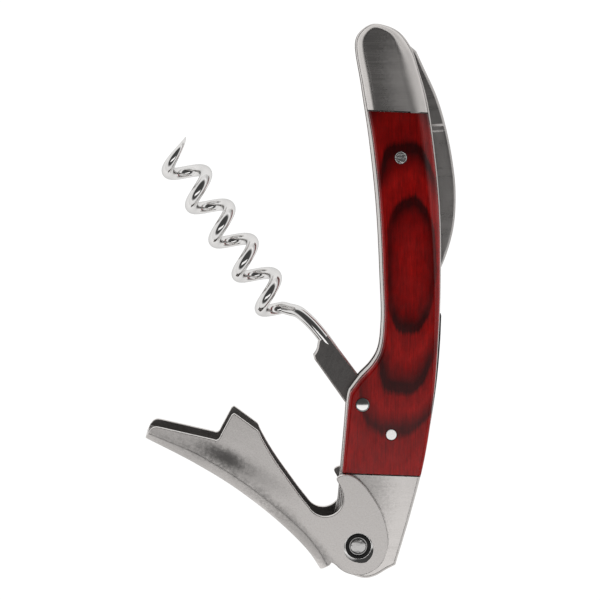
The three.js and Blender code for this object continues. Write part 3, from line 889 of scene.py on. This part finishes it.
def wire_path():
    """Centre line of the wire, from its point down the coil and on into the tang."""
    points = []
    for turn in np.linspace(COIL_FROM, COIL_TO, 260):
        angle = math.radians(turn)
        flared = max(0.0, (FLARE_TURN - turn) / FLARE_TURN)
        radius = COIL_RADIUS + FLARE * flared**2
        down = COIL_TOP - COIL_PITCH * turn / 360
        points.append((COIL_OFFSET + radius * math.cos(angle), down, radius * math.sin(angle)))
    points += [(-1.75, 25.35, -2.6), (-0.45, 23.95, -1.5), (0.5, 20.9, -0.4), (0.95, 17.6, 0)]
    return spline([*points, (1.15, 13.5, 0)], 0.22)


def tube(path, radii, squash, sides=28):
    """Round bar along a path. squash narrows it across Z station by station."""
    tangent = np.gradient(path, axis=0)
    tangent /= np.linalg.norm(tangent, axis=1)[:, None]
    side = np.cross(tangent[0], [0, 0, 1.0])
    verts, rings = [], []
    for p, t, r, flat in zip(path, tangent, radii, squash):
        side = side - t * (side @ t)
        side /= np.linalg.norm(side)
        up = np.cross(side, t)
        ring = []
        for k in range(sides):
            a = 2 * math.pi * k / sides
            q = r * (math.cos(a) * side + math.sin(a) * up)
            q[2] *= flat
            ring.append(p + q)
        rings.append((len(verts), sides))
        verts += ring
    faces = loops_to_faces(rings)
    first, last = end_rings(rings)
    return np.array(verts), faces + [first, last[::-1]]


path = wire_path()
along = np.linspace(0, lengths(path)[-1], len(path))
ground = np.clip(along / POINT_LENGTH, 0, 1)
radii = POINT_R + (WIRE_R - POINT_R) * np.sin(math.pi / 2 * ground)
# The wire's last stretch is pressed a little flat where it becomes the tang.
PRESSED, PRESSED_TO = 5.0, 0.90
from_end = along[-1] - along
flat = np.where(from_end < PRESSED, PRESSED_TO + (1 - PRESSED_TO) * from_end / PRESSED, 1.0)
verts, faces = tube(path, radii, flat)
verts = turned(verts, WORM_REST, WORM_PIVOT)
build("worm_wire", verts, faces, "worm", "worm_steel", ["worm"], WORM_STEEL)
tang = closed(
    spline([(2.2, 16.6), (2.55, 10.0), (2.85, 4.0)], FINE),
    arc((0.05, 0), 2.95, 15, -195),
    spline([(-2.95, 2.0), (-3.1, 8.0), (-3.25, 13.6)], FINE),
    spline([(-2.9, 14.5), (-1.9, 14.9), (-1.25, 15.4), (-0.7, 16.0), (-0.1, 16.6)], FINE),
)
tang = turned(tang, WORM_REST, WORM_PIVOT)
ground_edge = np.full(len(tang), 0.36)
verts, faces = slab(tang, -TANG_HALF, TANG_HALF, 0.2, [WORM_HOLE], ground_edge)
made = build("worm_tang", verts, faces, "worm", "worm_steel", [], TANG_STEEL, sharp=15)
made.data.materials.append(LINER)
for polygon in made.data.polygons:
    if 0.3 < abs(polygon.normal.z) < 0.97:
        # The ground edges are brighter than the faces.
        polygon.material_index = 1


# ---------------------------- lever

WEB = [
    (4.6, 8.62), (8.1, 6.75), (12.2, 5.3), (18.0, 3.75), (25.4, 2.35), (32.4, 1.5), (41.5, 1.13),
    (51.85, 1.14),
]
BEND_ALONG = ((4, 2.3), (12, 3.0), (41, 3.0), (52, 1.7))  # width of the bend by place
# Slope of the bend by share of its width, from the web to the crease.
BEND_EDGE = [(0, 86), (0.08, 64), (0.25, 46), (0.5, 37), (0.74, 30), (0.83, 7), (1.0, 0)]
CAP_CENTRE, CAP_R = (11.3, -5.8), 3.95
DISH_DEPTH, WASHER_R = 0.4, 2.8
MOUTH_GAP, WALL_GAP = 0.17, 0.04  # from the washer to the mouth and to the wall of its seat
SEAT_SIDES, BEND_ROWS = 72, 20
PLATE_ROUND = 0.2  # radius along the plates' free edge
FADE = 0.4  # length over which that rounding grows from the channel's ends
BREAK = 0.16  # broken edge at the cut ends of the channel
RELIEF = 0.35  # how far the web's inside is cut back at its heel, so that the liners pass


def lever_plate_edge():
    """Free edge of a lever plate, from the tip round the notches, hook and boss to the heel."""
    waist = [
        (31.7, -12.0), (31.0, -11.85), (30.2, -11.2), (26.8, -9.0), (23.2, -7.0), (19.8, -5.35),
        (16.3, -3.65), (13.6, -2.5),
    ]
    cap_hook = [
        (8.35, -8.5), (9.2, -9.25), (10.5, -10.15), (11.15, -10.6), (11.25, -11.1), (10.4, -12.2),
        (8.8, -12.9), (7.05, -12.85), (4.6, -12.05), (1.8, -10.7), (-1.0, -8.9), (-3.4, -6.6),
        (-5.6, -3.5), (-6.4, 0.0),
    ]
    return [
        spline([(51.8, -0.95), (51.62, -1.6), (51.1, -2.2), (50.2, -2.55)], 0.2),
        spline([(38.9, -5.66), (38.15, -5.85), (37.8, -6.5), (37.82, -7.3)], 0.3),
        spline([(37.85, -12.2), (37.55, -12.75), (36.9, -12.75)], 0.2),
        spline(waist, 0.5),
        arc(CAP_CENTRE, CAP_R, 62, 210, 0.3),
        spline(cap_hook, 0.4),
        arc((0, 0), 6.4, 176, 75, 0.4),
        spline([(2.3, 5.97), (2.9, 5.9), (3.4, 5.9)], 0.2),
    ]


# The sunk seat round the rivet opens out towards the foot of the handle and has its steepest
# wall at the lower left: (degrees in the handle's frame, millimetres).
DISH_OPENING = [
    (-180, 0.12), (-150, 0.38), (-120, 0.48), (-95, 0.58), (-65, 0.92), (-25, 0.55), (0, 0.25),
    (40, 0.0), (140, 0.0),
]
DISH_WALL = [
    (-180, 0.28), (-150, 0.27), (-120, 0.34), (-95, 0.385), (-75, 0.26), (20, 0.24), (160, 0.28),
]


def add(verts, points):
    """Adds points. Gives their indices."""
    first = len(verts)
    verts += [tuple(p) for p in points]
    return list(range(first, len(verts)))


def add_strips(faces, rows):
    """Adds quads between neighbouring rows of indices."""
    for a, b in zip(rows, rows[1:]):
        faces += zip(a, a[1:], b[1:], b)


def lever_rims(verts, faces, crease):
    """Rounded rims along the free edge of the front plate (1) and the rear plate (-1)."""
    edge = np.concatenate([crease[-1:], *lever_plate_edge(), crease[:1]])
    edge = edge[np.append(True, np.linalg.norm(np.diff(edge, axis=0), axis=1) > 0.02)]
    edge[-1] = crease[0]
    loop = np.concatenate([edge, crease[1:-1]])
    # The loop runs clockwise.
    inward = normals(loop[::-1])[::-1][: len(edge)]
    from_ends = np.min([np.linalg.norm(edge - edge[end], axis=1) for end in (0, -1)], axis=0)
    inward *= np.clip(from_ends / FADE, 0, 1)[:, None]
    round_off = rounded(PLATE_ROUND)
    section = [(w, LEVER_HALF - d) for w, d in reversed(round_off)]
    section += [(w, LEVER_INNER + d) for w, d in round_off]
    rims = {}
    for sign in (1, -1):
        rims[sign] = []
        for w, z in section:
            level = np.full(len(edge), z)
            level[[0, -1]] = min(z, LEVER_HALF - BREAK)
            rims[sign].append(add(verts, np.column_stack([edge + inward * w, sign * level])))
        add_strips(faces, rims[sign])
    return rims


def lever_section(z_face, web_top, bend):
    """Rows across the bend from the plate's crease to the web, station by station: drop below
    the web's outside, z, and the outward normal in the same directions."""
    share, rise, ratio = edge_curve(BEND_EDGE, BEND_ROWS)
    share, rise = share[::-1], rise[::-1]
    normal = np.stack([np.gradient(rise) * ratio, -np.gradient(share)])
    normal /= np.hypot(*normal)
    normal[:, 0], normal[:, -1] = (0, 1), (-1, 0)
    return [
        (web_top + bend * u, z_face - bend * ratio * (1 - r), *across)
        for u, r, across in zip(share, rise, normal.T)
    ]


def lever_skins(verts, faces, web, down, bend, ahead):
    """Outer and inner skin over the web and both bends. ahead points along the web's heel."""
    broken = np.zeros(len(web))
    broken[[0, -1]] = BREAK
    cut_back = np.zeros((len(web), 2))
    cut_back[:2] = ahead * RELIEF
    skins = {}
    for key, z_face, web_top, width, worn, back in (
        ("outer", LEVER_HALF, 0.0, bend, broken, 0),
        ("inner", LEVER_INNER, SHEET, bend - SHEET, 0, cut_back),
    ):
        half = lever_section(z_face, web_top, width)
        skins[key] = []
        for drop, z, normal_d, normal_z in half + [(d, -z, a, -b) for d, z, a, b in half[::-1]]:
            flat = web + down * (drop - normal_d * worn)[:, None] - back * normal_d
            skins[key].append(add(verts, np.column_stack([flat, z - normal_z * worn])))
        add_strips(faces, skins[key])
    return skins


def lever_ends(verts, faces, rims, skins):
    """Closes the channel's two cut ends."""
    for station, end in ((0, -1), (-1, 0)):
        around = [row[station] for row in skins["outer"]] + [rim[end] for rim in rims[-1]]
        around += [row[station] for row in skins["inner"][::-1]]
        around += [rim[end] for rim in rims[1][::-1]]
        ring = []
        for i in around:
            if all(math.dist(verts[i], verts[k]) > 1e-4 for k in ring):
                ring.append(i)
        faces += caps(verts, ring)


def lever_faces(verts, faces, rims, skins):
    """Flat faces of both plates, with the sunk seat and the hole for the rivet."""
    angle = np.linspace(0, 2 * math.pi, SEAT_SIDES, endpoint=False)
    turn = np.degrees(angle + LEVER_REST)
    opening, fall = (
        np.interp(turn, *np.array(table).T, period=360) for table in (DISH_OPENING, DISH_WALL)
    )
    mouth_r, wall_r, hole_r = WASHER_R + MOUTH_GAP + opening, WASHER_R + WALL_GAP, LEVER_HOLE[1]
    seat = [
        (mouth_r, LEVER_HALF), (hole_r, LEVER_INNER), (mouth_r - 0.07, LEVER_HALF - 0.03),
        (wall_r + 0.05, LEVER_HALF - fall), (wall_r, LEVER_HALF - fall),
        (wall_r - 0.02, LEVER_HALF - DISH_DEPTH), (hole_r, LEVER_HALF - DISH_DEPTH),
    ]
    for sign, row in ((1, 0), (-1, -1)):
        mouth, inner, *wall = [
            add(verts, np.stack([r * np.cos(angle), r * np.sin(angle), sign * z + 0 * angle], 1))
            for r, z in seat
        ]
        for skin, rim, edge in (("outer", 0, mouth), ("inner", -1, inner)):
            faces += caps(verts, rims[sign][rim] + skins[skin][row][1:-1], [edge])
        add_strips(faces, [ring + ring[:1] for ring in (mouth, *wall, inner)])


def lever_solid():
    """The channel as one closed mesh, in the lever's own frame: its pivot at the origin."""
    web = spline(WEB, 0.6)
    tangent = np.gradient(web, axis=0)
    tangent /= np.linalg.norm(tangent, axis=1)[:, None]
    down = np.stack([tangent[:, 1], -tangent[:, 0]], 1)
    heel, tip = [web[0], web[0] + tangent[0] * BREAK], [web[-1] - tangent[-1] * BREAK, web[-1]]
    web = np.concatenate([heel, web[1:-1], tip])
    down = np.concatenate([down[:1], down, down[-1:]])
    bend = np.interp(web[:, 0], *np.array(BEND_ALONG).T)
    verts, faces = [], []
    rims = lever_rims(verts, faces, web + down * bend[:, None])
    skins = lever_skins(verts, faces, web, down, bend, tangent[0])
    lever_ends(verts, faces, rims, skins)
    lever_faces(verts, faces, rims, skins)
    return verts, faces


verts, faces = lever_solid()
placed = turned(np.array(verts), LEVER_REST, LEVER_PIVOT)
made = build(
    "lever_bent", placed, faces, "lever", "lever_steel", ["lever"], LEVER_STEEL, sharp=30
)
for material in (LEVER_INSIDE_SHADE, RIVET_STEEL):
    made.data.materials.append(material)
spin = Matrix.Rotation(-LEVER_REST, 3, "Z")
for polygon in made.data.polygons:
    place = polygon.center / MM - PLACE
    facing = spin @ polygon.normal
    if abs(place.z) < LEVER_INNER + 0.02 and (facing.z * place.z < -0.1 or facing.y < -0.3):
        # Faces that look into the channel get darker, rougher steel: painted shade inside the
        # channel.
        polygon.material_index = 1
    elif (
        math.dist(place.xy, LEVER_PIVOT) < WASHER_R + 1.2
        and LEVER_HALF - DISH_DEPTH - 0.01 < abs(place.z) < LEVER_HALF - 0.001
    ):
        # The pressed seat round the rivet is smooth.
        polygon.material_index = 2

# Peened end: a low dome with a bright rolled edge that covers the washer's inner rim.
top = LEVER_HALF
peened = [(r, top - 0.09 * (r / 1.7) ** 2) for r in (0, 0.4, 0.8, 1.15, 1.45, 1.7)]
peened += [(1.83, top - 0.16), (1.93, top - 0.235), (1.93, top - 0.25), (LEVER_RIVET_R, top - 0.27)]
rivet("lever_rivet", LEVER_PIVOT, LEVER_RIVET_R, peened, PEENED_STEEL, "lever")
floor = LEVER_HALF - DISH_DEPTH + 0.02
WASHER_HOLE_R = LEVER_RIVET_R + 0.04
WASHER = [
    (WASHER_HOLE_R, 0), (WASHER_HOLE_R, 0.06), (WASHER_HOLE_R + 0.08, 0.1), (WASHER_R - 0.3, 0.12),
    (WASHER_R - 0.08, 0.09), (WASHER_R, 0.02), (WASHER_R, 0), (WASHER_HOLE_R, 0),
]
for node, sign in (("lever_washer_front", 1), ("lever_washer_rear", -1)):
    verts, faces = lathe(LEVER_PIVOT, [(r, sign * (floor + z)) for r, z in WASHER])
    build(f"{node}_turned", verts, faces, "lever", "washer_steel", [node], WASHER_STEEL)


# ---------------------------- stage

def floor_plane(half_side=4.0, below=0.0002):
    """White floor just below the tool. It shines by itself, so it stays white everywhere."""
    mesh = bpy.data.meshes.new("floor")
    corners = [(x * half_side, y * half_side, 0) for x, y in ((-1, -1), (1, -1), (1, 1), (-1, 1))]
    mesh.from_pydata(corners, [], [(0, 1, 2, 3)])
    made = bpy.data.objects.new("floor", mesh)
    made.location.z = -below
    bpy.context.scene.collection.objects.link(made)
    white = Nodes(bpy.data.materials.new("floor_white")).set(
        Base_Color=(0.12, 0.12, 0.12, 1), Roughness=0.9, Emission_Color=(1, 1, 1, 1),
        Emission_Strength=1.0,
    )
    mesh.materials.append(white)


def softbox(centre, target, size, power):
    data = bpy.data.lights.new("softbox", "AREA")
    data.shape = "RECTANGLE"
    data.size, data.size_y = size
    data.energy = power
    made = bpy.data.objects.new("softbox", data)
    made.location = centre
    made.rotation_euler = (Vector(target) - Vector(centre)).to_track_quat("-Z", "Y").to_euler()
    made.visible_camera = False
    bpy.context.scene.collection.objects.link(made)


# Brightness of the room by height over the horizon: pale walls, and a dark ceiling overhead.
# The wall on the side of the handle's back is duller below its bright top.
WALLS = [(0.0, 0.95), (0.20, 0.98), (0.45, 1.08), (0.64, 0.07), (1.0, 0.07)]
BACK_WALL = [(0.0, 0.74), (0.28, 0.68), (0.46, 1.32), (0.68, 0.09), (1.0, 0.07)]


def room():
    world = bpy.data.worlds.new("studio")
    bpy.context.scene.world = world
    n = Nodes(world)
    x, _, z = n.add("SeparateXYZ", {0: n.add("TexCoord").outputs["Generated"]}).outputs
    walls = [n.ramp(z, [(at, (value,) * 3) for at, value in wall]) for wall in (WALLS, BACK_WALL)]
    behind = n.span(x, 0.1, 0.6, 0.0, 1.0, "SMOOTHSTEP")
    n.put(n.tree.nodes["Background"].inputs["Color"], n.mix(behind, *walls))


floor_plane()
softbox((0.0, -0.193, 0.60), (0.0, -0.02, 0.0), (0.60, 0.184), 0.455)
room()

# Camera at the photograph's viewing angle: above the handle, leaning a little from the head.
camera = bpy.data.cameras.new("camera")
camera.lens, camera.sensor_width = 135, 36
camera.clip_start, camera.clip_end = 0.01, 20
RIGHT, UP = Vector((0.999445, 0.002948, 0.033184)), Vector((0, 0.996077, -0.088491))
BACKWARDS = RIGHT.cross(UP).normalized()
CAMERA_AT = Vector((-16.324, 43.337, 487.807))
view = bpy.data.objects.new("camera", camera)
turn = Matrix((RIGHT, UP, BACKWARDS)).transposed().to_4x4()
view.matrix_world = Matrix.Translation((CAMERA_AT + PLACE) * MM) @ turn
bpy.context.scene.collection.objects.link(view)
bpy.context.scene.camera = view

bpy.context.scene.view_settings.view_transform = "Standard"
